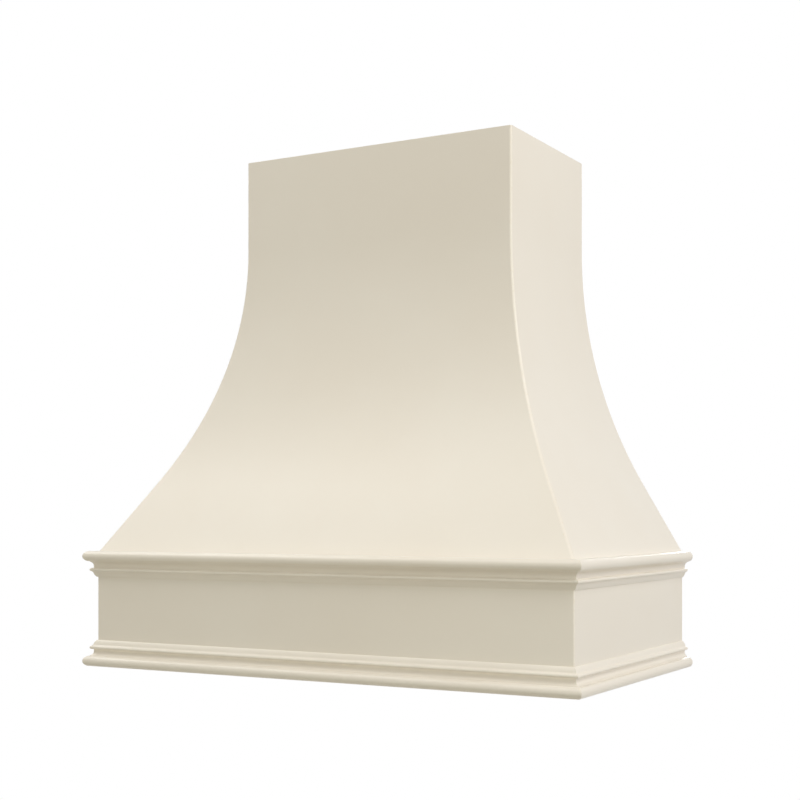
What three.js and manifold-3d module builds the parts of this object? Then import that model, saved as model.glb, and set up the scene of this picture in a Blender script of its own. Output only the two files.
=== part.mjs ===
// A wall-hung wooden range hood cover: a moulded apron with a flared chimney above it.
// Lengths are millimetres. +X runs along the front, the front faces -Y and +Z is up.
// The origin is on the wall, in the middle of the cover's bottom edge.

import * as THREE from "three";
import { mergeVertices } from "three/addons/utils/BufferGeometryUtils.js";
import Module from "manifold-3d";

// Outside sizes.
const apronWidth = 914.4;
const apronDepth = 495.3;
const apronHeight = 203.2;
const chimneyWidth = 533.4;
const chimneyDepth = 304.8;
const coverHeight = 914.4;

// The flare starts this far above the apron. It bends first and then runs straight to its foot.
const flareHeight = 548;
const bendHeight = 426;
const bendRadius = 831;
const bendSteps = 24;

// Panels and their frame.
const panelThickness = 6.4;
const boardThickness = 19;
const stileWidth = 64;
const ribThickness = 18;
const ribDepth = 45;
const hipRibDepth = 60;
const frontRibSpacing = 240;
const topRailHeight = 64;
const hangingRailHeight = 90;
const footCleatThickness = 20;
const footCleatHeight = 24;

// Deck and apron.
const deckThickness = 18;
const deckStrip = 90;
const deckBackStrip = 60;
const deckCornerRadius = 25;
const backRailHeight = 64;
const lowerNailerHeight = 64;
const rabbetDepth = 9.5;
const cornerBlockLeg = 45;
const ledgerThickness = 19;
const ledgerHeight = 38;
const ledgerRecess = 12.7;

// Moulding: a round lip at its free edge, a cove, a small bead and a tail that thins towards the board.
// The tail leaves the bead in a small cove. Both angles are in radians, up from level.
// The cap moulding rises a little above the deck and hides the chimney's foot.
const lipProjection = 19;
const lipRadius = 9.1;
const coveRadius = 8.4;
const covePinch = 4.6;
const beadProjection = 10;
const beadRadius = 3;
const beadFromEdge = 33.1;
const beadEndAngle = 1.2;
const tailCoveRadius = 5;
const tailAngle = 0.35;
const tailHeight = 12.95;
const tailBevelHeight = 3.45;
const tailProjection = 3.8;
const tailThickness = 1;
const capRise = 1.6;
const arcSteps = 8;

// Screw holes in the rails against the wall.
const screwHoleSpacing = 203.2;
const screwHoleEndDistance = 40;
const screwHoleRadius = 2.5;
const countersinkRadius = 5;
const countersinkDepth = 3;
const holeSides = 20;

// Clearances: the glue line between neighbours, and how far a cutting shape runs past what it cuts.
const glueGap = 0.3;
const overrun = 60;

// Sizes that follow.
const chimneyHeight = coverHeight - apronHeight;
const apronHalf = apronWidth / 2;
const mouldingHeight = beadFromEdge + tailHeight;
const apronBoardHeight = apronHeight - deckThickness - glueGap;
const panelBack = panelThickness + glueGap;
const ribTop = chimneyHeight - topRailHeight - glueGap;
const bendAngle = Math.asin(bendHeight / bendRadius);
const front = { top: chimneyDepth, flare: apronDepth - chimneyDepth };
const side = { top: chimneyWidth / 2, flare: apronHalf - chimneyWidth / 2 };
const chimneyCorner = new THREE.Vector2(side.top, -front.top);
const apronCorner = new THREE.Vector2(apronHalf, -apronDepth);
const hipRun = apronCorner.clone().sub(chimneyCorner);
const hip = { top: 0, flare: hipRun.length() };

const wasm = await Module();
wasm.setup();

// ---- Solids ----

function solidOf(geometry) {
  const bare = geometry.clone();
  bare.deleteAttribute("normal");
  bare.deleteAttribute("uv");
  const merged = mergeVertices(bare);
  const mesh = new wasm.Mesh({
    numProp: 3,
    vertProperties: merged.attributes.position.array,
    triVerts: new Uint32Array(merged.index.array),
  });
  return new wasm.Manifold(mesh);
}

function geometryOf(solid) {
  const { vertProperties, triVerts } = solid.getMesh();
  const shared = new THREE.BufferGeometry();
  shared.setAttribute("position", new THREE.BufferAttribute(vertProperties, 3));
  shared.setIndex(new THREE.BufferAttribute(triVerts, 1));
  const faceted = shared.toNonIndexed();
  faceted.computeVertexNormals();
  return faceted;
}

// A box between two values on each axis.
function block([left, right], [near, far], [bottom, top]) {
  const box = new THREE.BoxGeometry(right - left, far - near, top - bottom);
  box.translate((left + right) / 2, (near + far) / 2, (bottom + top) / 2);
  return solidOf(box);
}

// An outline seen from above, between two heights.
function upright(points, bottom, top) {
  const outline = new THREE.Shape(points);
  const prism = new THREE.ExtrudeGeometry(outline, { depth: top - bottom, bevelEnabled: false });
  prism.translate(0, 0, bottom);
  return solidOf(prism);
}

// An outline drawn outwards and up is swept to both sides of the middle, facing the front.
function sweepAcross(outline, left, right) {
  const swept = new THREE.ExtrudeGeometry(outline, { depth: right - left, bevelEnabled: false });
  const facing = new THREE.Matrix4().makeBasis(
    new THREE.Vector3(0, -1, 0),
    new THREE.Vector3(0, 0, 1),
    new THREE.Vector3(-1, 0, 0),
  );
  swept.applyMatrix4(facing);
  swept.translate(right, 0, 0);
  return solidOf(swept);
}

// The same for the right side, swept from one distance from the wall to another.
function sweepForward(outline, fromWall, toFront) {
  const swept = new THREE.ExtrudeGeometry(outline, { depth: toFront - fromWall, bevelEnabled: false });
  const facing = new THREE.Matrix4().makeBasis(
    new THREE.Vector3(1, 0, 0),
    new THREE.Vector3(0, 0, 1),
    new THREE.Vector3(0, -1, 0),
  );
  swept.applyMatrix4(facing);
  swept.translate(0, -fromWall, 0);
  return solidOf(swept);
}

// ---- The flare's curve, in heights above the deck ----

// How far the bend carries a panel outwards by a drop below the flare's start.
function bendReach(drop) {
  if (drop <= 0) {
    return 0;
  }
  if (drop <= bendHeight) {
    return bendRadius - Math.sqrt(bendRadius ** 2 - drop ** 2);
  }
  const arcReach = bendRadius * (1 - Math.cos(bendAngle));
  return arcReach + (drop - bendHeight) * Math.tan(bendAngle);
}

function bendSlope(drop) {
  if (drop <= 0) {
    return 0;
  }
  return Math.tan(Math.asin(Math.min(drop, bendHeight) / bendRadius));
}

// A point of a face at a height, moved a depth square into the wood behind it.
function facePoint(face, height, depth) {
  const drop = flareHeight - height;
  const scale = face.flare / bendReach(flareHeight);
  const out = face.top + scale * bendReach(drop);
  const slope = scale * bendSlope(drop);
  const square = depth / Math.hypot(1, slope);
  return new THREE.Vector2(out - square, height - square * slope);
}

// The line of a face at a depth, from above the chimney's top to below the deck.
function faceLine(face, depth) {
  const heights = [chimneyHeight + overrun];
  for (let step = 0; step <= bendSteps; step += 1) {
    heights.push(flareHeight - (bendHeight * step) / bendSteps);
  }
  heights.push(-overrun);
  return heights.map((height) => facePoint(face, height, depth));
}

// The outline between two depths behind a face.
function faceBand(face, outerDepth, innerDepth) {
  const inner = faceLine(face, innerDepth).reverse();
  return new THREE.Shape([...faceLine(face, outerDepth), ...inner]);
}

// Everything behind the front face, from a depth behind it to past the wall.
function spaceBehindFront(depth) {
  const line = faceLine(front, depth);
  const lowest = line[line.length - 1].y;
  const highest = line[0].y;
  const pastWall = [new THREE.Vector2(-overrun, lowest), new THREE.Vector2(-overrun, highest)];
  return sweepAcross(new THREE.Shape([...line, ...pastWall]), -apronWidth, apronWidth);
}

// Everything between the two side faces, from a depth behind each.
function spaceBetweenSides(depth) {
  const rightLine = faceLine(side, depth);
  const leftLine = rightLine.map((point) => new THREE.Vector2(-point.x, point.y)).reverse();
  return sweepForward(new THREE.Shape([...rightLine, ...leftLine]), -overrun, apronWidth);
}

// The plan is parted along a mitre that runs through two corner points.
// One part belongs to the front piece, the other to the right-hand piece, with a glue line between.
function mitredParts(innerCorner, outerCorner, bottom, top) {
  const along = outerCorner.clone().sub(innerCorner).normalize();
  const across = new THREE.Vector2(-along.y, along.x).multiplyScalar(glueGap / 2);
  const start = innerCorner.clone().addScaledVector(along, -overrun);
  const end = outerCorner.clone().addScaledVector(along, overrun);
  const frontStart = start.clone().sub(across);
  const frontEnd = end.clone().sub(across);
  const sideStart = start.clone().add(across);
  const sideEnd = end.clone().add(across);
  const frontPlan = [
    new THREE.Vector2(-frontEnd.x, frontEnd.y),
    frontEnd,
    frontStart,
    new THREE.Vector2(-frontStart.x, frontStart.y),
  ];
  const sidePlan = [
    sideEnd,
    new THREE.Vector2(sideEnd.x, 0),
    new THREE.Vector2(sideStart.x, 0),
    sideStart,
  ];
  return { front: upright(frontPlan, bottom, top), side: upright(sidePlan, bottom, top) };
}

// ---- Panels of the chimney and flare ----

const everywhere = [-apronWidth, apronWidth];
const panelParts = mitredParts(chimneyCorner, apronCorner, glueGap, chimneyHeight);
const roomForRibs = spaceBehindFront(panelBack).intersect(spaceBetweenSides(panelBack));

function frontPanel() {
  const skin = sweepAcross(faceBand(front, 0, panelThickness), -apronWidth, apronWidth);
  return skin.intersect(panelParts.front);
}

function rightPanel() {
  const skin = sweepForward(faceBand(side, 0, panelThickness), -overrun, apronWidth);
  return skin.intersect(panelParts.side);
}

// ---- Frame behind the panels ----

const ribLayer = block(everywhere, everywhere, [glueGap, ribTop]);
const fullLayer = block(everywhere, everywhere, [glueGap, chimneyHeight]);
const topRailLayer = block(everywhere, everywhere, [chimneyHeight - topRailHeight, chimneyHeight]);
const hangingRailBottom = chimneyHeight - hangingRailHeight;
const stileBack = panelBack + stileWidth;

// A back stile follows the side panel down the wall. Its rear half is cut away for the hanging rail.
function backStile() {
  const board = sweepForward(faceBand(side, panelBack, stileBack), 0, boardThickness);
  const lap = block(everywhere, [-(boardThickness + glueGap) / 2, overrun],
    [hangingRailBottom - glueGap, chimneyHeight + overrun]);
  return board.intersect(fullLayer).subtract(lap);
}

// A countersunk hole through a rail on the wall. It opens wide on the room side.
function screwHole(across, height) {
  const profile = [
    new THREE.Vector2(0, -overrun),
    new THREE.Vector2(countersinkRadius, -overrun),
    new THREE.Vector2(countersinkRadius, -boardThickness),
    new THREE.Vector2(screwHoleRadius, countersinkDepth - boardThickness),
    new THREE.Vector2(screwHoleRadius, overrun),
    new THREE.Vector2(0, overrun),
  ];
  const hole = new THREE.LatheGeometry(profile, holeSides);
  hole.translate(across, 0, height);
  return solidOf(hole);
}

// Holes lie evenly about the middle of a rail.
function drilled(rail, halfLength, height) {
  let result = rail;
  const last = halfLength - screwHoleEndDistance;
  for (let across = screwHoleSpacing / 2; across <= last; across += screwHoleSpacing) {
    result = result.subtract(screwHole(-across, height));
    result = result.subtract(screwHole(across, height));
  }
  return result;
}

// The hanging rail closes the top of the back. Its ends are halved behind the stiles.
function hangingRail() {
  const board = block(everywhere, [-boardThickness, 0], [hangingRailBottom, chimneyHeight]);
  const frontHalf = block(everywhere, [-overrun, -(boardThickness - glueGap) / 2],
    [hangingRailBottom - overrun, chimneyHeight + overrun]);
  const laps = frontHalf.subtract(spaceBetweenSides(stileBack + glueGap));
  const rail = board.intersect(roomForRibs).subtract(laps);
  return drilled(rail, side.top - stileBack, chimneyHeight - hangingRailHeight / 2);
}

// The top rails stand on the ribs. The side ones fit between the front one and the stiles.
const topRailBack = panelBack + boardThickness;

function frontTopRail() {
  const board = sweepAcross(faceBand(front, panelBack, topRailBack), -apronWidth, apronWidth);
  return board.intersect(roomForRibs).intersect(topRailLayer);
}

function rightTopRail() {
  const board = sweepForward(faceBand(side, panelBack, topRailBack), boardThickness + glueGap, apronWidth);
  return board.intersect(spaceBehindFront(topRailBack + glueGap)).intersect(topRailLayer);
}

// An outline drawn along the hip and up, as a slab centred on the right or left mitre.
function hipSlab(hand, outline, thickness) {
  const along = hipRun.clone().normalize();
  const slab = new THREE.ExtrudeGeometry(outline, { depth: thickness, bevelEnabled: false });
  slab.translate(0, 0, -thickness / 2);
  const facing = new THREE.Matrix4().makeBasis(
    new THREE.Vector3(hand * along.x, along.y, 0),
    new THREE.Vector3(0, 0, 1),
    new THREE.Vector3(along.y, -hand * along.x, 0),
  );
  slab.applyMatrix4(facing);
  slab.translate(hand * chimneyCorner.x, chimneyCorner.y, 0);
  return solidOf(slab);
}

// A hip rib backs the mitre. Its outer edge is bevelled to lie on both panels.
function hipRib() {
  const slab = hipSlab(1, faceBand(hip, -overrun, hipRibDepth), ribThickness);
  return slab.intersect(roomForRibs).intersect(ribLayer);
}

function hipRibClearance(hand) {
  const outline = faceBand(hip, -overrun, hipRibDepth + glueGap);
  return hipSlab(hand, outline, ribThickness + 2 * glueGap);
}

// A foot cleat lies on the deck behind a panel. Its outer edge has the panel's slope.
function footCleatBand(face, clearance) {
  return faceBand(face, panelBack - clearance, panelBack + footCleatThickness + clearance);
}

const cleatLayer = block(everywhere, everywhere, [glueGap, footCleatHeight]);
const cleatClearanceLayer = block(everywhere, everywhere, [-overrun, footCleatHeight + glueGap]);

function frontFootCleat() {
  const strip = sweepAcross(footCleatBand(front, 0), -apronWidth, apronWidth);
  const mitred = strip.intersect(panelParts.front).intersect(cleatLayer);
  return mitred.subtract(hipRibClearance(1)).subtract(hipRibClearance(-1));
}

function rightFootCleat() {
  const strip = sweepForward(footCleatBand(side, 0), boardThickness + glueGap, apronWidth);
  return strip.intersect(panelParts.side).intersect(cleatLayer).subtract(hipRibClearance(1));
}

// The plain ribs follow the panels and are notched over the foot cleats.
// A side rib stands midway along the chimney's side.
function rightFrontRib() {
  const middle = frontRibSpacing / 2;
  const rib = sweepAcross(faceBand(front, panelBack, panelBack + ribDepth),
    middle - ribThickness / 2, middle + ribThickness / 2);
  const notch = sweepAcross(footCleatBand(front, glueGap), 0, apronWidth).intersect(cleatClearanceLayer);
  return rib.intersect(ribLayer).subtract(notch);
}

function rightSideRib() {
  const fromWall = (chimneyDepth - ribThickness) / 2;
  const rib = sweepForward(faceBand(side, panelBack, panelBack + ribDepth),
    fromWall, fromWall + ribThickness);
  const notch = sweepForward(footCleatBand(side, glueGap), 0, apronWidth).intersect(cleatClearanceLayer);
  return rib.intersect(ribLayer).subtract(notch);
}

// ---- Deck and apron, in heights above the cover's bottom ----

const insideHalf = apronHalf - boardThickness;
const insideDepth = apronDepth - boardThickness;
const innerApronCorner = new THREE.Vector2(insideHalf, -insideDepth);

// The deck is a plywood ring that the chimney stands on. The duct passes through it.
function deck() {
  const outline = new THREE.Shape([
    new THREE.Vector2(-apronHalf, -apronDepth),
    new THREE.Vector2(apronHalf, -apronDepth),
    new THREE.Vector2(apronHalf, 0),
    new THREE.Vector2(-apronHalf, 0),
  ]);
  const right = apronHalf - deckStrip - deckCornerRadius;
  const near = deckStrip + deckCornerRadius - apronDepth;
  const back = -deckBackStrip - deckCornerRadius;
  const opening = new THREE.Path();
  opening.absarc(right, back, deckCornerRadius, 0, Math.PI / 2);
  opening.absarc(-right, back, deckCornerRadius, Math.PI / 2, Math.PI);
  opening.absarc(-right, near, deckCornerRadius, Math.PI, Math.PI * 1.5);
  opening.absarc(right, near, deckCornerRadius, Math.PI * 1.5, Math.PI * 2);
  outline.holes.push(opening);
  const ring = new THREE.ExtrudeGeometry(outline,
    { depth: deckThickness, bevelEnabled: false, curveSegments: arcSteps });
  ring.translate(0, 0, apronHeight - deckThickness);
  return solidOf(ring);
}

const apronParts = mitredParts(innerApronCorner, apronCorner, 0, apronBoardHeight);

function frontApron() {
  const board = block(everywhere, [-apronDepth, -insideDepth], [-overrun, apronHeight]);
  return board.intersect(apronParts.front);
}

// A side board has a rabbet at the wall for each of the two rails between the boards.
function rightApron() {
  const board = block([insideHalf, apronHalf], everywhere, [-overrun, apronHeight]);
  const rabbetWidth = [insideHalf - overrun, insideHalf + rabbetDepth];
  const rabbetRun = [-boardThickness - glueGap, overrun];
  const upperRabbet = block(rabbetWidth, rabbetRun,
    [apronBoardHeight - backRailHeight - glueGap, apronHeight]);
  const lowerRabbet = block(rabbetWidth, rabbetRun, [-overrun, lowerNailerHeight + glueGap]);
  return board.intersect(apronParts.side).subtract(upperRabbet).subtract(lowerRabbet);
}

function wallRail(bottom, top) {
  const halfLength = insideHalf + rabbetDepth - glueGap;
  const rail = block([-halfLength, halfLength], [-boardThickness, 0], [bottom, top]);
  return drilled(rail, halfLength, (bottom + top) / 2);
}

// Liner ledgers run round the inside of the apron, a little above its bottom edge.
const ledgerTop = ledgerRecess + ledgerHeight;
const ledgerFront = insideDepth - glueGap;
const ledgerBack = boardThickness + glueGap;

function ledger(fromWall, toFront) {
  const half = insideHalf - glueGap;
  return block([-half, half], [-toFront, -fromWall], [ledgerRecess, ledgerTop]);
}

function rightLedger() {
  const right = insideHalf - glueGap;
  const near = ledgerFront - ledgerThickness - glueGap;
  const back = ledgerBack + ledgerThickness + glueGap;
  return block([right - ledgerThickness, right], [-near, -back], [ledgerRecess, ledgerTop]);
}

// A three-sided glue block stiffens each front corner between the ledgers and the deck.
function rightCornerBlock() {
  const x = innerApronCorner.x - glueGap;
  const y = innerApronCorner.y + glueGap;
  const plan = [
    new THREE.Vector2(x, y),
    new THREE.Vector2(x, y + cornerBlockLeg),
    new THREE.Vector2(x - cornerBlockLeg, y),
  ];
  return upright(plan, ledgerTop + glueGap, apronBoardHeight);
}

// ---- Mouldings ----

// The moulding's section, outwards from the board and away from its free edge.
function mouldingSection() {
  const lipCentre = lipProjection - lipRadius;
  const coveCentre = covePinch + coveRadius;
  const coveMiddle = 2 * lipRadius + coveRadius;
  const coveStart = -Math.acos((lipCentre - coveCentre) / coveRadius);
  const beadCentre = beadProjection - beadRadius;
  const centreDistance = beadRadius + tailCoveRadius;
  const tailCoveOut = beadCentre + centreDistance * Math.cos(beadEndAngle);
  const tailCoveMiddle = beadFromEdge + centreDistance * Math.sin(beadEndAngle);
  const section = new THREE.Shape();
  section.moveTo(0, 0);
  section.lineTo(lipCentre, 0);
  section.absarc(lipCentre, lipRadius, lipRadius, -Math.PI / 2, Math.PI / 2);
  section.absarc(coveCentre, coveMiddle, coveRadius, coveStart, -Math.PI, true);
  section.lineTo(covePinch, beadFromEdge - beadRadius);
  section.absarc(beadCentre, beadFromEdge, beadRadius, -Math.PI / 2, beadEndAngle);
  section.absarc(tailCoveOut, tailCoveMiddle, tailCoveRadius, beadEndAngle - Math.PI, tailAngle - Math.PI, true);
  section.lineTo(tailProjection, mouldingHeight - tailBevelHeight);
  section.lineTo(tailThickness, mouldingHeight);
  section.lineTo(0, mouldingHeight);
  return section.getPoints(arcSteps);
}

// The base moulding has its lip at the cover's bottom. The cap moulding is the same turned over.
function mouldingOutline(distanceOut, turnedOver) {
  const freeEdge = turnedOver ? apronHeight + capRise : 0;
  const direction = turnedOver ? -1 : 1;
  const points = mouldingSection();
  return new THREE.Shape(points.map(
    (point) => new THREE.Vector2(distanceOut + glueGap + point.x, freeEdge + direction * point.y),
  ));
}

const mouldingParts = mitredParts(innerApronCorner, apronCorner, -overrun, apronHeight + overrun);

function frontMoulding(turnedOver) {
  const bar = sweepAcross(mouldingOutline(apronDepth, turnedOver), -apronWidth, apronWidth);
  return bar.intersect(mouldingParts.front);
}

function rightMoulding(turnedOver) {
  const bar = sweepForward(mouldingOutline(apronHalf, turnedOver), -overrun, apronWidth);
  return bar.intersect(mouldingParts.side);
}

// ---- Finishes and assembly ----

function paint() {
  return new THREE.MeshStandardMaterial({ color: "#ede5d6", roughness: 0.42, metalness: 0 });
}

function hardwood() {
  return new THREE.MeshStandardMaterial({ color: "#d3b78c", roughness: 0.7, metalness: 0 });
}

function plywood() {
  return new THREE.MeshStandardMaterial({ color: "#dcc49c", roughness: 0.75, metalness: 0 });
}

const cover = new THREE.Group();
const apron = new THREE.Group();
const chimney = new THREE.Group();
chimney.position.z = apronHeight;
cover.add(apron, chimney);

function place(group, name, solid, material) {
  const mesh = new THREE.Mesh(geometryOf(solid), material);
  mesh.name = name;
  group.add(mesh);
  return mesh;
}

// A right-hand piece and its mirror image on the left.
function placePair(group, name, solid, finish) {
  place(group, `right_${name}`, solid, finish());
  const left = place(group, `left_${name}`, solid, finish());
  left.scale.x = -1;
}

place(chimney, "front_panel", frontPanel(), paint());
placePair(chimney, "panel", rightPanel(), paint);
placePair(chimney, "back_stile", backStile(), plywood);
place(chimney, "hanging_rail", hangingRail(), hardwood());
place(chimney, "front_top_rail", frontTopRail(), hardwood());
placePair(chimney, "top_rail", rightTopRail(), hardwood);
placePair(chimney, "hip_rib", hipRib(), plywood);
placePair(chimney, "front_rib", rightFrontRib(), plywood);
placePair(chimney, "side_rib", rightSideRib(), plywood);
place(chimney, "front_foot_cleat", frontFootCleat(), hardwood());
placePair(chimney, "foot_cleat", rightFootCleat(), hardwood);

place(apron, "deck", deck(), plywood());
place(apron, "front_apron", frontApron(), paint());
placePair(apron, "apron", rightApron(), paint);
place(apron, "apron_back_rail", wallRail(apronBoardHeight - backRailHeight, apronBoardHeight), hardwood());
place(apron, "lower_nailer", wallRail(0, lowerNailerHeight), hardwood());
placePair(apron, "corner_block", rightCornerBlock(), hardwood);
place(apron, "front_liner_ledger", ledger(ledgerFront - ledgerThickness, ledgerFront), hardwood());
place(apron, "back_liner_ledger", ledger(ledgerBack, ledgerBack + ledgerThickness), hardwood());
placePair(apron, "liner_ledger", rightLedger(), hardwood);
place(apron, "front_base_moulding", frontMoulding(false), paint());
placePair(apron, "base_moulding", rightMoulding(false), paint);
place(apron, "front_cap_moulding", frontMoulding(true), paint());
placePair(apron, "cap_moulding", rightMoulding(true), paint);

export default cover;
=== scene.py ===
# A wooden range hood cover: a flared chimney on a moulded apron, framed inside, hung on a kitchen wall.
# Lengths are metres. +X runs along the front, the front faces -Y and +Z is up, with the wall at y = 0.
import math
import random

import bmesh
import bpy
from mathutils import Matrix, Vector


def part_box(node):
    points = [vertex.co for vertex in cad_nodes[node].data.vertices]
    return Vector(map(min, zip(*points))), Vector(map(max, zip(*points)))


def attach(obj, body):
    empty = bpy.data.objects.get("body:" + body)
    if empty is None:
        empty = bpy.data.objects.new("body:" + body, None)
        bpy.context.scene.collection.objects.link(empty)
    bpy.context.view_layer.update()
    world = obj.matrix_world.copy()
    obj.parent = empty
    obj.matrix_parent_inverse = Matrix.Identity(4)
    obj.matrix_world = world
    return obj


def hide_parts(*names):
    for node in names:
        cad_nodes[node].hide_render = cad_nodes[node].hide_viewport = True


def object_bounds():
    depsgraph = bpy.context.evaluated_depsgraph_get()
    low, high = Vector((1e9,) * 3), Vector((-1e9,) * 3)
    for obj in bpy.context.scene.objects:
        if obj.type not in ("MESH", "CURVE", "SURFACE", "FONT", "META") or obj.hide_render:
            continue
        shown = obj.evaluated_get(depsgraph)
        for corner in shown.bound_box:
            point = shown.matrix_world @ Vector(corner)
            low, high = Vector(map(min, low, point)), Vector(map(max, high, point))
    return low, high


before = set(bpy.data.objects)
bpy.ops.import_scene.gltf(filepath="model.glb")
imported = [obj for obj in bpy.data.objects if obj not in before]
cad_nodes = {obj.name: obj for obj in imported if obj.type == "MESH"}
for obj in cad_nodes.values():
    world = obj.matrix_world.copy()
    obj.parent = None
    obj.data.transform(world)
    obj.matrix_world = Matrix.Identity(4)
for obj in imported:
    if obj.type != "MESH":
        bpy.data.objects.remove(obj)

cad_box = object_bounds()
X, Y, Z = Vector((1, 0, 0)), Vector((0, 1, 0)), Vector((0, 0, 1))


# ---- Deck ----
# The deck is a ring of birch plywood that the chimney stands on and the apron is hung from.
# It is sawn out for the duct, its edges are sanded off by hand, and it is left bare.

SEAM = 0.00005
SAME_PLANE = math.radians(0.3)
CORNER = math.radians(28)
SANDING = 0.0006
BIRCH_PLIES = 13
GLUE_SHARE_OF_PLY = 0.09


def tone(code):
    """A colour written as #rrggbb, as the shader's linear numbers."""
    parts = [int(code[i:i + 2], 16) / 255 for i in (1, 3, 5)]
    return (*[p / 12.92 if p <= 0.04045 else ((p + 0.055) / 1.055) ** 2.4 for p in parts], 1)


def add(tree, kind, inputs=None, **settings):
    """A new shader node. An input is a number, a colour or another node's output."""
    made = tree.nodes.new("ShaderNode" + kind)
    for name, value in settings.items():
        setattr(made, name, value)
    for name, value in (inputs or {}).items():
        if isinstance(value, bpy.types.NodeSocket):
            tree.links.new(value, made.inputs[name])
        else:
            made.inputs[name].default_value = value
    return made


def maths(tree, operation, *values):
    """The result of one sum, such as ADD or FRACT."""
    made = add(tree, "Math", dict(enumerate(values)), operation=operation)
    return made.outputs[0]


def blend_colours(tree, share, first, second):
    """The first colour at a share of 0, the second at 1."""
    made = add(tree, "Mix", {0: share, 6: first, 7: second}, data_type="RGBA")
    return made.outputs[2]


def between(tree, value, low, high, at_low=0.0, at_high=1.0):
    """The value from low to high, spread over at_low to at_high."""
    made = add(tree, "MapRange", {0: value, 1: low, 2: high, 3: at_low, 4: at_high})
    return made.outputs[0]


def noise(tree, place, scale, detail=2.0, roughness=0.5):
    made = add(tree, "TexNoise", {"Vector": place, "Scale": scale, "Detail": detail, "Roughness": roughness})
    return made.outputs["Fac"]


def relief(tree, height, depth, strength, below=None):
    """A bump this deep, in metres, on top of an earlier one."""
    inputs = {"Height": height, "Distance": depth, "Strength": strength}
    if below is not None:
        inputs["Normal"] = below
    return add(tree, "Bump", inputs).outputs[0]


def new_finish(name, **sockets):
    """A material with its Principled shader, and the place of each point in metres."""
    made = bpy.data.materials.new(name)
    made.use_nodes = True
    tree = made.node_tree
    shader = tree.nodes["Principled BSDF"]
    for socket, value in sockets.items():
        shader.inputs[socket.replace("_", " ")].default_value = value
    return made, tree, shader, add(tree, "TexCoord").outputs["Object"]


def laid(tree, place, grain, face, at=(0, 0, 0)):
    """Places turned so that X follows the grain and Z is square to the board's face."""
    turn = Matrix((grain, face.cross(grain), face)).to_euler()
    return add(tree, "Mapping", {"Vector": place, "Location": at, "Rotation": turn}).outputs[0]


def stretched(tree, place, scale):
    return add(tree, "Mapping", {"Vector": place, "Scale": scale}).outputs[0]


def birch_plywood(name, grain, face, surface, thickness):
    """Thin plies, laid crosswise, between pale veneers. surface is where the sheet starts, along its face."""
    made, tree, shader, place = new_finish(name, Roughness=0.62)
    board = laid(tree, place, grain, face, at=(0.13, 0.07, -surface))
    split = add(tree, "SeparateXYZ", {0: board})
    plies_per_metre = (BIRCH_PLIES - 0.02) / thickness
    in_plies = maths(tree, "MULTIPLY_ADD", split.outputs[2], plies_per_metre, 0.01)
    crosswise = maths(tree, "MODULO", maths(tree, "FLOOR", in_plies), 2.0)
    glue = maths(tree, "LESS_THAN", maths(tree, "FRACT", in_plies), GLUE_SHARE_OF_PLY)
    fibres = noise(tree, stretched(tree, board, (14, 520, 520)), 1.0, 3.0, 0.6)
    figure = noise(tree, stretched(tree, board, (2.2, 26, 3)), 1.0, 4.0, 0.55)
    specks = noise(tree, stretched(tree, board, (130, 1500, 1500)), 1.0, 2.0, 0.5)
    veneer = blend_colours(tree, between(tree, figure, 0.3, 0.7), tone("#e2cda6"), tone("#d3b784"))
    veneer = blend_colours(tree, between(tree, fibres, 0.45, 0.75, 0.0, 0.35), veneer, tone("#b8935e"))
    core = blend_colours(tree, between(tree, specks, 0.35, 0.65), tone("#a98153"), tone("#8a6238"))
    wood = blend_colours(tree, crosswise, veneer, core)
    wood = blend_colours(tree, maths(tree, "MULTIPLY", glue, 0.55), wood, tone("#5b3d22"))
    tree.links.new(wood, shader.inputs["Base Color"])
    tree.links.new(between(tree, fibres, 0.3, 0.7, 0.55, 0.72), shader.inputs["Roughness"])
    bump = relief(tree, fibres, 0.00012, 0.5)
    bump = relief(tree, crosswise, 0.00008, 0.4, bump)
    tree.links.new(bump, shader.inputs["Normal"])
    return made


def merged_copy(*names):
    """Copies of CAD nodes in one bmesh, their loose triangles merged into whole faces."""
    made = bmesh.new()
    for name in names:
        made.from_mesh(cad_nodes[name].data)
    bmesh.ops.remove_doubles(made, verts=made.verts, dist=SEAM)
    bmesh.ops.dissolve_limit(made, angle_limit=SAME_PLANE, verts=made.verts, edges=made.edges)
    return made


def arrises(work):
    """The sharp outer edges of a piece."""
    return [e for e in work.edges if e.is_manifold and e.is_convex and e.calc_face_angle() > CORNER]


def ease(work, edges, width, segments=2):
    """Rounds edges by this width, in metres, and returns the rounded faces."""
    eased = bmesh.ops.bevel(
        work, geom=edges, offset=width, offset_type="OFFSET", segments=segments,
        profile=0.5, affect="EDGES", clamp_overlap=True, material=-1,
    )
    return eased["faces"]


def finished_piece(work, name, nodes, slot, *finishes):
    """Makes the object, smooth but for its corners, in place of its CAD nodes."""
    mesh = bpy.data.meshes.new(name)
    work.to_mesh(mesh)
    work.free()
    mesh.shade_smooth()
    mesh.set_sharp_from_angle(angle=CORNER)
    for finish in finishes:
        mesh.materials.append(finish)
    made = bpy.data.objects.new(name, mesh)
    bpy.context.scene.collection.objects.link(made)
    even = made.modifiers.new("Even shading", "WEIGHTED_NORMAL")
    even.keep_sharp = True
    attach(made, "root")
    if nodes:
        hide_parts(*nodes)
    return made


def bare_piece(node, slot, finish):
    """A piece of bare wood with the shape of its CAD node and sanded edges."""
    work = merged_copy(node)
    ease(work, arrises(work), SANDING)
    return finished_piece(work, node + "_wood", [node], slot, finish)


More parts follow.
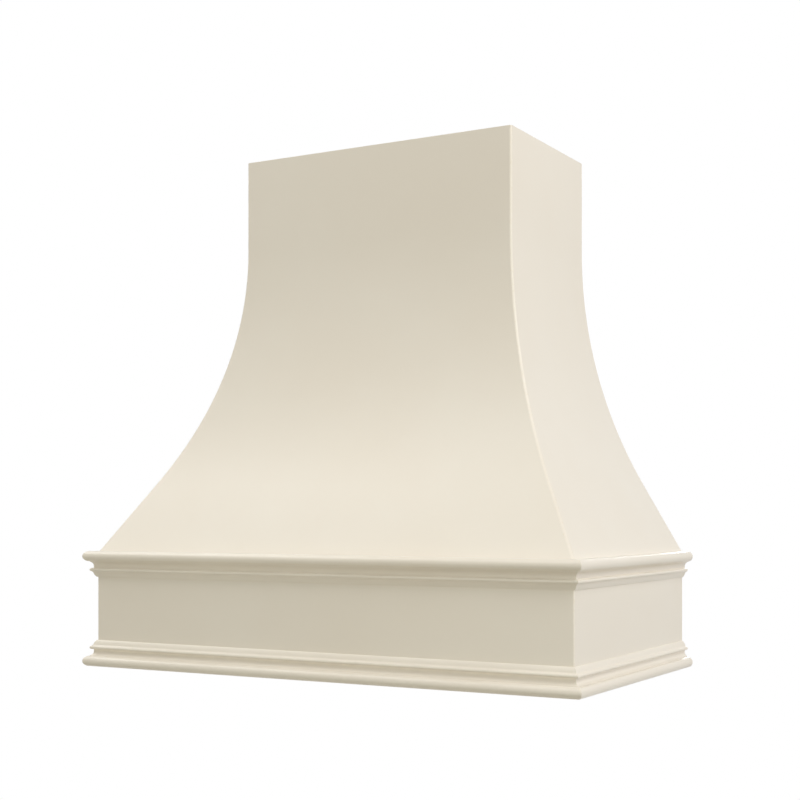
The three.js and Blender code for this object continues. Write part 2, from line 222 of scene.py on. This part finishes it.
deck_low, deck_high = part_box("deck")
deck_wood = birch_plywood("Deck plywood", X, Z, deck_low.z, deck_high.z - deck_low.z)
deck = merged_copy("deck")
inside = [e for e in arrises(deck) if all(
    abs(v.co.x) < deck_high.x - SEAM and deck_low.y + SEAM < v.co.y < -SEAM for v in e.verts
)]
ease(deck, inside, SANDING)
finished_piece(deck, "deck_wood", ["deck"], "plywood", deck_wood)


# ---- Ribs ----
# The ribs are sawn from birch plywood to the flare's curve and screwed to the deck.
# Those behind the hips have their outer edges bevelled to lie on both panels.

rib_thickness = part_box("right_front_rib")[1].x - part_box("right_front_rib")[0].x
for hand, side in ((1, "right"), (-1, "left")):
    name = side + "_front_rib"
    bare_piece(name, "plywood", birch_plywood(
        side.title() + " front rib plywood", Z, X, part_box(name)[0].x, rib_thickness,
    ))
    name = side + "_side_rib"
    bare_piece(name, "plywood", birch_plywood(
        side.title() + " side rib plywood", Z, Y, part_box(name)[0].y, rib_thickness,
    ))
    name = side + "_hip_rib"
    across = Vector((hand, 1, 0)).normalized()
    corner_place = Vector((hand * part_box("right_apron")[1].x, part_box("front_apron")[0].y, 0))
    first_face = corner_place.dot(across) - rib_thickness / 2
    bare_piece(name, "plywood", birch_plywood(
        side.title() + " hip rib plywood", Z, across, first_face, rib_thickness,
    ))


# ---- Back stiles ----
# Two boards of birch plywood stand against the wall and close the chimney's side panels there.
# Their outer edges are sawn to the flare, and their tops are halved over the hanging rail.

for side in ("left", "right"):
    name = side + "_back_stile"
    stile_low, stile_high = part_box(name)
    bare_piece(name, "plywood", birch_plywood(
        side.title() + " stile plywood", Z, Y, stile_low.y, stile_high.y - stile_low.y,
    ))


# ---- Hanging rail and top rails ----
# Planed poplar closes the chimney's top. The rail at the wall carries the cover's weight on screws
# through its countersunk holes. All are glued, and the halved joints are screwed as well.

RING_WANDER = 0.016
RINGS_SCALE = 62.0
END_GRAIN_FROM = 0.75


def bare_poplar(name, grain, face, seed, sprayed_up_to=0.0):
    """Planed poplar: rings, a green-brown heart, fibres, dark end grain, and paint mist below a height."""
    made, tree, shader, place = new_finish(name, Roughness=0.6)
    board = laid(tree, place, grain, face, at=(0.31 * seed, 0.043 + 0.009 * seed, 0.06 + 0.013 * seed))
    drawn_out = stretched(tree, board, (2.5, 16, 16))
    wander = add(tree, "TexNoise", {"Vector": drawn_out, "Scale": 1.0, "Detail": 3.0}).outputs["Color"]
    wander = add(tree, "VectorMath", {0: wander, 1: (0.5, 0.5, 0.5)}, operation="SUBTRACT").outputs[0]
    sideways = {0: wander, 1: (0, RING_WANDER, RING_WANDER), 2: board}
    bent = add(tree, "VectorMath", sideways, operation="MULTIPLY_ADD").outputs[0]
    bent = stretched(tree, bent, (0.02, 1, 1))
    rings = add(
        tree, "TexWave", {"Vector": bent, "Scale": RINGS_SCALE, "Distortion": 0.6, "Detail": 1.0},
        wave_type="RINGS", rings_direction="X", wave_profile="SAW",
    ).outputs["Fac"]
    fibres = noise(tree, stretched(tree, board, (9, 620, 620)), 1.0, 3.0, 0.6)
    heart = noise(tree, stretched(tree, board, (1.2, 11, 11)), 1.0, 3.0, 0.5)
    wood = blend_colours(tree, between(tree, rings, 0.45, 1.0), tone("#dcc9a2"), tone("#c3a878"))
    wood = blend_colours(tree, between(tree, heart, 0.52, 0.72, 0.0, 0.55), wood, tone("#a99c70"))
    wood = blend_colours(tree, between(tree, fibres, 0.5, 0.8, 0.0, 0.4), wood, tone("#9c7f50"))
    facing = add(tree, "TexCoord").outputs["Normal"]
    along = add(tree, "VectorMath", {0: facing, 1: grain}, operation="DOT_PRODUCT").outputs["Value"]
    end_grain = maths(tree, "GREATER_THAN", maths(tree, "ABSOLUTE", along), END_GRAIN_FROM)
    wood = blend_colours(tree, maths(tree, "MULTIPLY", end_grain, 0.45), wood, tone("#8d6f45"))
    if sprayed_up_to:
        height = add(tree, "SeparateXYZ", {0: place}).outputs[2]
        mist = between(tree, height, 0.001, sprayed_up_to, 1.0, 0.0)
        mist = maths(tree, "MULTIPLY", mist, between(tree, noise(tree, place, 330.0, 3.0, 0.7), 0.35, 0.6))
        wood = blend_colours(tree, mist, wood, tone("#ebe2d1"))
    tree.links.new(wood, shader.inputs["Base Color"])
    tree.links.new(between(tree, fibres, 0.3, 0.7, 0.52, 0.7), shader.inputs["Roughness"])
    bump = relief(tree, fibres, 0.00014, 0.5)
    bump = relief(tree, rings, 0.00006, 0.3, bump)
    tree.links.new(bump, shader.inputs["Normal"])
    return made


bare_piece("hanging_rail", "hardwood", bare_poplar("Hanging rail poplar", X, Y, 1))
bare_piece("front_top_rail", "hardwood", bare_poplar("Front top rail poplar", X, Y, 2))
bare_piece("left_top_rail", "hardwood", bare_poplar("Left top rail poplar", Y, X, 3))
bare_piece("right_top_rail", "hardwood", bare_poplar("Right top rail poplar", Y, X, 4))


# ---- Foot cleats ----
# Strips of poplar, planed to the panels' slope, are glued and screwed to the deck's top
# and give the panels' feet something to be glued to.

bare_piece("front_foot_cleat", "hardwood", bare_poplar("Front foot cleat poplar", X, Z, 5))
bare_piece("left_foot_cleat", "hardwood", bare_poplar("Left foot cleat poplar", Y, Z, 6))
bare_piece("right_foot_cleat", "hardwood", bare_poplar("Right foot cleat poplar", Y, Z, 7))


# ---- Rails at the wall, below the deck ----
# Two poplar rails sit in the side boards' rabbets and close the apron at the wall.
# Both are drilled and countersunk for screws into the studs.

bare_piece("apron_back_rail", "hardwood", bare_poplar("Apron back rail poplar", X, Y, 8))
bare_piece("lower_nailer", "hardwood", bare_poplar("Lower nailer poplar", X, Y, 9))


# ---- Corner blocks and liner ledgers ----
# Three-sided poplar blocks are glued into the apron's front corners. Four poplar ledgers run round
# the inside a little above the bottom edge, and the metal liner is screwed up to them.

bare_piece("left_corner_block", "hardwood", bare_poplar("Left corner block poplar", Z, X, 10))
bare_piece("right_corner_block", "hardwood", bare_poplar("Right corner block poplar", Z, X, 11))
bare_piece("front_liner_ledger", "hardwood", bare_poplar("Front ledger poplar", X, Y, 12))
bare_piece("back_liner_ledger", "hardwood", bare_poplar("Back ledger poplar", X, Y, 13))
bare_piece("left_liner_ledger", "hardwood", bare_poplar("Left ledger poplar", Y, X, 14))
bare_piece("right_liner_ledger", "hardwood", bare_poplar("Right ledger poplar", Y, X, 15))


# ---- Chimney panels ----
# Three sheets of bending plywood, glued and pinned over the ribs and mitred at the hips.
# The outside and the top edge are filled, sanded, primed and sprayed with satin cream paint.
# The inside stays bare.

GLUE_LINE = 0.0004
HIP_EASING = 0.0048
TOP_EASING = 0.0005
TOP_EDGE = 0.001
SQUARE_ON = 0.9
LEAST_OUTWARD = 0.01
apron_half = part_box("right_apron")[1].x
apron_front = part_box("front_apron")[0].y
mitre_offset = apron_half + apron_front
deck_top = deck_high.z


def past_mitre(vertex):
    """How far a vertex lies behind the mitres' planes, or in front of them where it is less than 0."""
    return abs(vertex.co.x) + vertex.co.y - mitre_offset


def in_one_mitre(part, reach):
    """Whether an edge or a face lies in the left mitre's plane or the right one's."""
    one_side = len({v.co.x > 0 for v in part.verts}) == 1
    return one_side and all(abs(past_mitre(v)) < reach for v in part.verts)


def close_mitres(work):
    """Takes out the glue line between mitred pieces, so that one easing runs over the joint."""
    inner = [f for f in work.faces if in_one_mitre(f, GLUE_LINE)]
    bmesh.ops.delete(work, geom=inner, context="FACES_ONLY")
    for v in work.verts:
        past = past_mitre(v)
        if -GLUE_LINE < past < 0:
            v.co.x += math.copysign(past, v.co.x)
        elif 0 < past < GLUE_LINE:
            v.co.y -= past
    bmesh.ops.remove_doubles(work, verts=work.verts, dist=SEAM)
    bmesh.ops.recalc_face_normals(work, faces=work.faces)


def flush_with_boards(work):
    """Closes the glue line between these pieces and the faces of the apron boards."""
    for v in work.verts:
        if abs(v.co.y - apron_front) < GLUE_LINE:
            v.co.y = apron_front
        if abs(abs(v.co.x) - apron_half) < GLUE_LINE:
            v.co.x = math.copysign(apron_half, v.co.x)


def parted(work, hand):
    """A copy cut at the mitres: the front part for a hand of 0, or one side's."""
    part = work.copy()
    keep_front = hand == 0
    for side in (-1, 1) if keep_front else (hand,):
        out = Vector((side, 1, 0)).normalized()
        cut = bmesh.ops.bisect_plane(
            part, geom=[*part.verts, *part.edges, *part.faces],
            plane_co=(side * apron_half, apron_front, 0), plane_no=out,
            clear_outer=keep_front, clear_inner=not keep_front, dist=0.00001,
        )
        edges = [g for g in cut["geom_cut"] if isinstance(g, bmesh.types.BMEdge)]
        bmesh.ops.edgenet_fill(part, edges=edges, mat_nr=1)
    return part


def sprayed_paint(name, grain):
    """Satin cream paint: faint orange peel, wood grain that just shows through, thin at the arrises."""
    made, tree, shader, place = new_finish(name, Roughness=0.3, Specular_IOR_Level=0.5)
    board = laid(tree, place, grain, Y if grain is not Y else X)
    clouds = noise(tree, place, 4.0, 3.0)
    peel = noise(tree, place, 620.0, 2.0)
    rolls = noise(tree, place, 24.0, 2.0)
    telegraph = noise(tree, stretched(tree, board, (6, 240, 240)), 1.0, 3.0, 0.6)
    coat = blend_colours(tree, between(tree, clouds, 0.3, 0.7), tone("#f1e9dc"), tone("#efe6d8"))
    thin = add(tree, "Attribute", attribute_name="arris").outputs["Fac"]
    rubbed = between(tree, noise(tree, place, 210.0, 4.0, 0.7), 0.52, 0.72)
    thin = maths(tree, "MULTIPLY", thin, rubbed)
    coat = blend_colours(tree, maths(tree, "MULTIPLY", thin, 0.35), coat, tone("#e4d6bb"))
    tree.links.new(coat, shader.inputs["Base Color"])
    gloss = between(tree, rolls, 0.3, 0.7, 0.285, 0.335)
    gloss = maths(tree, "MULTIPLY_ADD", thin, 0.05, gloss)
    tree.links.new(gloss, shader.inputs["Roughness"])
    bump = relief(tree, peel, 0.00004, 0.08)
    bump = relief(tree, telegraph, 0.00004, 0.1, bump)
    tree.links.new(bump, shader.inputs["Normal"])
    return made


paint_upright = sprayed_paint("Cream paint on upright grain", Z)
paint_across = sprayed_paint("Cream paint on grain across the front", X)
paint_forward = sprayed_paint("Cream paint on grain along the sides", Y)


def bending_plywood(name):
    """The panels' bare backs: reddish, open-pored veneer with upright grain."""
    made, tree, shader, place = new_finish(name, Roughness=0.75)
    board = laid(tree, place, Z, Y)
    pores = noise(tree, stretched(tree, board, (16, 700, 700)), 1.0, 4.0, 0.65)
    ribbon = noise(tree, stretched(tree, board, (1.5, 34, 34)), 1.0, 3.0, 0.5)
    wood = blend_colours(tree, between(tree, ribbon, 0.3, 0.7), tone("#d0a880"), tone("#ba9068"))
    wood = blend_colours(tree, between(tree, pores, 0.52, 0.75, 0.0, 0.6), wood, tone("#7c5437"))
    tree.links.new(wood, shader.inputs["Base Color"])
    tree.links.new(relief(tree, pores, 0.00018, 0.6), shader.inputs["Normal"])
    return made


panel_back = bending_plywood("Bare bending plywood")


def ease_and_rub(work, edges, width, segments=2):
    """Rounds edges, and notes on the rounded faces that the paint is thin there."""
    for face in ease(work, edges, width, segments):
        face[work.faces.layers.float["arris"]] = 1


def outward(face):
    """Whether a face looks away from the middle of the cover."""
    centre = face.calc_center_median()
    from_middle = Vector((centre.x, centre.y - apron_front / 2))
    return from_middle.dot(face.normal.xy) > LEAST_OUTWARD * abs(centre.x)


panels = merged_copy("front_panel", "left_panel", "right_panel")
panels.faces.layers.float.new("arris")
close_mitres(panels)
flush_with_boards(panels)
for v in panels.verts:
    if v.co.z < deck_top + GLUE_LINE:
        v.co.z = deck_top
hips = [e for e in arrises(panels) if in_one_mitre(e, SEAM)]
ease_and_rub(panels, hips, HIP_EASING, segments=4)
top = cad_box[1].z
top_edges = [e for e in arrises(panels) if all(v.co.z > top - SEAM for v in e.verts)]
ease(panels, top_edges, TOP_EASING)
for face in panels.faces:
    showing = outward(face) and face.normal.z > -SQUARE_ON and face.normal.y < SQUARE_ON
    at_top = face.calc_center_median().z > top - TOP_EDGE
    face.material_index = 0 if showing or at_top else 1
for name, hand in (("front_panel", 0), ("left_panel", -1), ("right_panel", 1)):
    finished_piece(
        parted(panels, hand), name + "_painted", [name], "painted_wood", paint_upright, panel_back,
    )
panels.free()


# ---- Apron boards ----
# Three poplar boards, mitred at the front corners and glued up under the deck.
# Face and bottom edge are primed and sprayed like the panels. The inside is bare.

BOARD_EASING = 0.003
INNER_EASING = 0.0008
MIST_HEIGHT = 0.018
boards = merged_copy("front_apron", "left_apron", "right_apron")
boards.faces.layers.float.new("arris")
close_mitres(boards)
corners = [e for e in arrises(boards) if in_one_mitre(e, SEAM)]
ease_and_rub(boards, corners, BOARD_EASING, segments=4)
inner_edges = [e for e in arrises(boards) if all(
    v.co.z < SEAM and abs(v.co.x) < apron_half - SEAM and v.co.y > apron_front + SEAM for v in e.verts
)]
ease(boards, inner_edges, INNER_EASING)
for face in boards.faces:
    showing = outward(face) and face.normal.z < SQUARE_ON and face.normal.y < SQUARE_ON
    face.material_index = 0 if showing or face.normal.z < -SQUARE_ON else 1
across_inside = bare_poplar("Front board's bare inside", X, Y, 16, sprayed_up_to=MIST_HEIGHT)
forward_inside = bare_poplar("Side boards' bare inside", Y, X, 17, sprayed_up_to=MIST_HEIGHT)
apron_sides = (
    ("front", 0, paint_across, across_inside),
    ("left", -1, paint_forward, forward_inside),
    ("right", 1, paint_forward, forward_inside),
)
for side, hand, coat, inside in apron_sides:
    name = side + "_apron"
    finished_piece(parted(boards, hand), name + "_painted", [name], "painted_wood", coat, inside)
boards.free()


# ---- Mouldings ----
# One poplar profile, a round lip, a cove and a small bead, run round the apron's top and, turned over,
# round its bottom. The lengths are mitred, glued, pinned and caulked before the paint.

MOULDING_EASING = 0.0009
CAULK = 0.0016

for level in ("base", "cap"):
    run = merged_copy(*[f"{side}_{level}_moulding" for side in ("front", "left", "right")])
    run.faces.layers.float.new("arris")
    close_mitres(run)
    flush_with_boards(run)
    for v in run.verts:
        if v.co.z > deck_top + GLUE_LINE:
            if abs(v.co.y - apron_front) < SEAM:
                v.co.y += CAULK
            if abs(abs(v.co.x) - apron_half) < SEAM:
                v.co.x -= math.copysign(CAULK, v.co.x)
    corners = [e for e in arrises(run) if in_one_mitre(e, SEAM)]
    ease_and_rub(run, corners, MOULDING_EASING)
    for face in run.faces:
        showing = outward(face) and face.normal.y < SQUARE_ON
        face.material_index = 0 if showing or abs(face.normal.z) > SQUARE_ON else 1
    for side, hand, coat, inside in apron_sides:
        name = f"{side}_{level}_moulding"
        finished_piece(parted(run, hand), name + "_painted", [name], "painted_wood", coat, inside)
    run.free()


# ---- Screws ----
# Yellow zinc-plated steel screws with countersunk heads and cross recesses. They pull the ledgers to the
# boards and rails, the deck to the ribs and cleats, the stiles to the hanging rail, and the corner blocks in.

HEAD_RADIUS = 0.0041
HEAD_DEPTH = 0.0028
RECESS_WIDTH = 0.0011
RECESS_REACH = 0.0024
RECESS_DEPTH = 0.0019
HEAD_PROUD = 0.00008
TURN_BETWEEN_SCREWS = 1.9

zinc, tree, shader, place = new_finish("Yellow zinc plate", Metallic=1.0, Roughness=0.34)
smears = noise(tree, place, 260.0, 3.0)
plate = blend_colours(tree, between(tree, smears, 0.35, 0.65), tone("#d9c184"), tone("#c4b59a"))
tree.links.new(plate, shader.inputs["Base Color"])
tree.links.new(between(tree, smears, 0.3, 0.7, 0.28, 0.44), shader.inputs["Roughness"])
tree.links.new(relief(tree, noise(tree, place, 2600.0, 2.0), 0.00002, 0.3), shader.inputs["Normal"])


def vertices(parts):
    """The vertices among what an operator made."""
    return [p for p in parts if isinstance(p, bmesh.types.BMVert)]


def open_edges(work):
    return [e for e in work.edges if len(e.link_faces) < 2]


screw = bmesh.new()
bmesh.ops.create_circle(screw, segments=28, radius=HEAD_RADIUS)
rim = screw.edges[:]
bmesh.ops.create_grid(screw, x_segments=1, y_segments=1, size=RECESS_WIDTH / 2)
for edge in [e for e in screw.edges if e not in rim]:
    outwards = Vector((*(edge.verts[0].co + edge.verts[1].co).xy, 0)).normalized()
    tips = vertices(bmesh.ops.extrude_edge_only(screw, edges=[edge])["geom"])
    bmesh.ops.translate(screw, verts=tips, vec=outwards * (RECESS_REACH - RECESS_WIDTH / 2))
cross = screw.faces[:]
bmesh.ops.triangle_fill(screw, edges=open_edges(screw), use_beauty=True, normal=Z)
sunk = vertices(bmesh.ops.extrude_face_region(screw, geom=cross)["geom"])
bmesh.ops.delete(screw, geom=cross, context="FACES")
bmesh.ops.scale(screw, verts=sunk, vec=(0.5, 0.5, 1))
bmesh.ops.translate(screw, verts=sunk, vec=-Z * RECESS_DEPTH)
neck = vertices(bmesh.ops.extrude_edge_only(screw, edges=rim)["geom"])
bmesh.ops.scale(screw, verts=neck, vec=(0.5, 0.5, 1))
bmesh.ops.translate(screw, verts=neck, vec=-Z * HEAD_DEPTH)
bmesh.ops.holes_fill(screw, edges=open_edges(screw), sides=0)
bmesh.ops.recalc_face_normals(screw, faces=screw.faces)
screw_mesh = bpy.data.meshes.new("one screw")
screw.to_mesh(screw_mesh)
screw.free()


def screws(name, heads):
    """Screws in one piece, each driven in until its head is flush at its place and looks the way given."""
    made = bmesh.new()
    for count, (at, facing) in enumerate(heads):
        before = len(made.verts)
        made.from_mesh(screw_mesh)
        made.verts.ensure_lookup_table()
        home = Matrix.Translation(Vector(at) + facing * HEAD_PROUD)
        aim = facing.to_track_quat("Z", "X").to_matrix().to_4x4()
        turn = aim @ Matrix.Rotation(TURN_BETWEEN_SCREWS * count, 4, "Z")
        bmesh.ops.transform(made, matrix=home @ turn, verts=made.verts[before:])
    return finished_piece(made, name, [], None, zinc)


ledger_level = (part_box("front_liner_ledger")[0].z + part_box("front_liner_ledger")[1].z) / 2
front_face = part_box("front_liner_ledger")[1].y
back_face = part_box("back_liner_ledger")[0].y
side_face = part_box("right_liner_ledger")[0].x
along_ledger = (-0.36, -0.18, 0, 0.18, 0.36)
along_side_ledger = (-0.375, -0.247, -0.12)
screws("ledger_screws", [
    *[((x, front_face, ledger_level), Y) for x in along_ledger],
    *[((x, back_face, ledger_level), -Y) for x in along_ledger],
    *[((hand * side_face, y, ledger_level), -hand * X) for hand in (-1, 1) for y in along_side_ledger],
])

under_deck = deck_low.z
into_front_cleat = [(x, -0.47) for x in (-0.3, -0.18, -0.06, 0.06, 0.18, 0.3)]
into_side_cleats = [(hand * 0.432, y) for hand in (-1, 1) for y in (-0.4, -0.31, -0.19, -0.07)]
into_front_ribs = [(hand * 0.12, -0.442) for hand in (-1, 1)]
into_side_ribs = [(hand * 0.402, -0.1524) for hand in (-1, 1)]
into_hip_ribs = [(hand * 0.395, mitre_offset - 0.395) for hand in (-1, 1)]
screws("deck_screws", [
    ((x, y, under_deck), -Z)
    for x, y in into_front_cleat + into_side_cleats + into_front_ribs + into_side_ribs + into_hip_ribs
])

stile_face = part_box("left_back_stile")[0].y
in_the_halving = ((0.21, 0.847), (0.228, 0.893))
screws("stile_screws", [((hand * x, stile_face, z), -Y) for x, z in in_the_halving for hand in (-1, 1)])

block_low, block_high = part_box("right_corner_block")
block_face = (block_low + block_high) / 2
block_screw_levels = (0.085, 0.15)
screws("corner_block_screws", [
    ((hand * block_face.x, block_face.y, z), Vector((-hand, 1, 0)).normalized())
    for hand in (-1, 1) for z in block_screw_levels
])
bpy.data.meshes.remove(screw_mesh)


# ---- Glue ----
# Yellow wood glue, pressed out of the joints inside the apron and left to dry in uneven beads
# beside the corner blocks and where the boards meet the deck.

BEAD_RADIUS = 0.0013
BEAD_END = 0.4
BEAD_THINNEST, BEAD_THICKEST = 0.45, 1.15
BEAD_STEP = 0.005
BACK_OF_BEADS = -0.0205

dry_glue, tree, shader, place = new_finish("Dry wood glue", Roughness=0.32)
lumps = noise(tree, place, 190.0, 2.0)
yellow = blend_colours(tree, between(tree, lumps, 0.35, 0.65), tone("#dcc084"), tone("#c79f56"))
tree.links.new(yellow, shader.inputs["Base Color"])
tree.links.new(between(tree, lumps, 0.3, 0.7, 0.26, 0.42), shader.inputs["Roughness"])
tree.links.new(relief(tree, lumps, 0.0002, 0.4), shader.inputs["Normal"])
drip = random.Random(7)


def glue_beads(name, runs):
    """Uneven beads from one end of each run to the other, half in the joint's corner."""
    made = bmesh.new()
    for start, end in runs:
        start, end = Vector(start), Vector(end)
        along = (end - start).normalized()
        turn = Matrix.Translation(start) @ along.to_track_quat("Z", "X").to_matrix().to_4x4()
        size = BEAD_RADIUS * BEAD_END
        ring = bmesh.ops.create_circle(made, segments=8, radius=size, matrix=turn)["verts"]
        steps = round((end - start).length / BEAD_STEP)
        for step in range(1, steps + 1):
            edges = [e for e in made.edges if e.verts[0] in ring and e.verts[1] in ring]
            ring = vertices(bmesh.ops.extrude_edge_only(made, edges=edges)["geom"])
            share = BEAD_END if step == steps else drip.uniform(BEAD_THINNEST, BEAD_THICKEST)
            next_size = BEAD_RADIUS * share
            centre = start + along * BEAD_STEP * step
            bmesh.ops.translate(made, verts=ring, vec=along * BEAD_STEP)
            bmesh.ops.scale(made, verts=ring, vec=[next_size / size] * 3, space=Matrix.Translation(-centre))
            size = next_size
    bmesh.ops.holes_fill(made, edges=open_edges(made), sides=0)
    bmesh.ops.recalc_face_normals(made, faces=made.faces)
    return finished_piece(made, name, [], None, dry_glue)


glue_beads("corner_block_glue", [
    ((hand * x, y, block_low.z), (hand * x, y, block_high.z))
    for hand in (-1, 1) for x, y in ((block_low.x, block_low.y), (block_high.x, block_high.y))
])
glue_beads("deck_glue", [
    ((block_low.x, block_low.y, under_deck), (-block_low.x, block_low.y, under_deck)),
    *[
        ((hand * block_high.x, block_high.y, under_deck), (hand * block_high.x, BACK_OF_BEADS, under_deck))
        for hand in (-1, 1)
    ],
])


# ---- Studio ----
# The cover hangs with its bottom edge 1.65 m above a pale floor, in the light of soft lamps above it, at its
# sides, in front and behind. The camera stands where the photograph's did.

HANGING_HEIGHT = 1.65
FLOOR_MIDDLE = (0, -0.25, -HANGING_HEIGHT)
FLOOR_RADIUS = 4.5
PALE_UP_TO, WHITE_FROM = 1.8, 4.2
FLOOR_GLOW = 0.5
ROOM_LIGHT = 0.125
COVER_MIDDLE = Vector((0, -0.25, 0.45))

floor_work = bmesh.new()
bmesh.ops.create_circle(floor_work, cap_ends=True, segments=96, radius=FLOOR_RADIUS)
bmesh.ops.translate(floor_work, verts=floor_work.verts, vec=FLOOR_MIDDLE)
floor_mesh = bpy.data.meshes.new("floor")
floor_work.to_mesh(floor_mesh)
floor_work.free()
floor = bpy.data.objects.new("floor", floor_mesh)
bpy.context.scene.collection.objects.link(floor)


def seen_rays(tree):
    """1 for the rays that show a surface to the camera, straight, in gloss or through glass, and else 0."""
    rays = add(tree, "LightPath")
    seen = maths(tree, "MAXIMUM", rays.outputs["Is Camera Ray"], rays.outputs["Is Glossy Ray"])
    return maths(tree, "MAXIMUM", seen, rays.outputs["Is Transmission Ray"])


floor_finish, floor_tree, floor_shader, floor_place = new_finish(
    "Pale floor", Roughness=0.9, Specular_IOR_Level=0.1,
)
floor_shader.inputs["Base Color"].default_value = (0.62, 0.59, 0.52, 1)
floor_shader.inputs["Emission Color"].default_value = (1, 1, 1, 1)
both_ends = {0: floor_place, 1: FLOOR_MIDDLE}
from_middle = add(floor_tree, "VectorMath", both_ends, operation="DISTANCE").outputs["Value"]
to_white = between(floor_tree, from_middle, PALE_UP_TO, WHITE_FROM, FLOOR_GLOW, 1.0)
glow = maths(floor_tree, "MULTIPLY", seen_rays(floor_tree), to_white)
floor_tree.links.new(glow, floor_shader.inputs["Emission Strength"])
floor_mesh.materials.append(floor_finish)

world = bpy.data.worlds.new("Studio")
bpy.context.scene.world = world
world.use_nodes = True
sky = world.node_tree
seen = seen_rays(sky)
room_tone = blend_colours(sky, seen, (1, 1, 0.83, 1), (1, 1, 1, 1))
sky.links.new(room_tone, sky.nodes["Background"].inputs["Color"])
sky.links.new(between(sky, seen, 0.0, 1.0, ROOM_LIGHT, 1.0), sky.nodes["Background"].inputs["Strength"])


def soft_lamp(name, place, wide, power, colour=(1, 1, 1)):
    """A square soft box that looks from its place to the cover's middle."""
    data = bpy.data.lights.new(name, "AREA")
    data.shape = "SQUARE"
    data.size = wide
    data.energy = power
    data.color = colour
    made = bpy.data.objects.new(name, data)
    made.location = place
    made.rotation_euler = (COVER_MIDDLE - Vector(place)).to_track_quat("-Z", "Y").to_euler()
    made.visible_camera = False
    bpy.context.scene.collection.objects.link(made)


soft_lamp("Lamp above at the front", (0, -2.4, 3.0), 2.0, 16)
soft_lamp("Small lamp above at the front", (-1.2, -1.8, 2.9), 1.2, 7.5)
soft_lamp("Lamp above at the left", (-2.6, -0.9, 2.8), 2.0, 36)
soft_lamp("Lamp above at the right", (2.6, -0.9, 2.8), 2.0, 62)
soft_lamp("Lamp at the right", (3.6, -0.5, 0.6), 1.0, 33)
soft_lamp("Lamp behind", (-0.8, 3.2, 0.55), 1.5, 55)
soft_lamp("Warm lamp in front", (0, -2.4, 0.1), 1.6, 12, (1, 0.99, 0.88))

camera_data = bpy.data.cameras.new("Camera")
camera_data.sensor_width = 36
camera_data.lens = 64.25
camera_data.shift_y = 0.14075
camera_data.clip_end = 60
camera = bpy.data.objects.new("Camera", camera_data)
camera.location = (1.26664, -2.44896, 0.27321)
camera.rotation_euler = (math.radians(90), 0, math.radians(29.4666))
bpy.context.scene.collection.objects.link(camera)
bpy.context.scene.camera = camera
bpy.context.scene.view_settings.view_transform = "Standard"
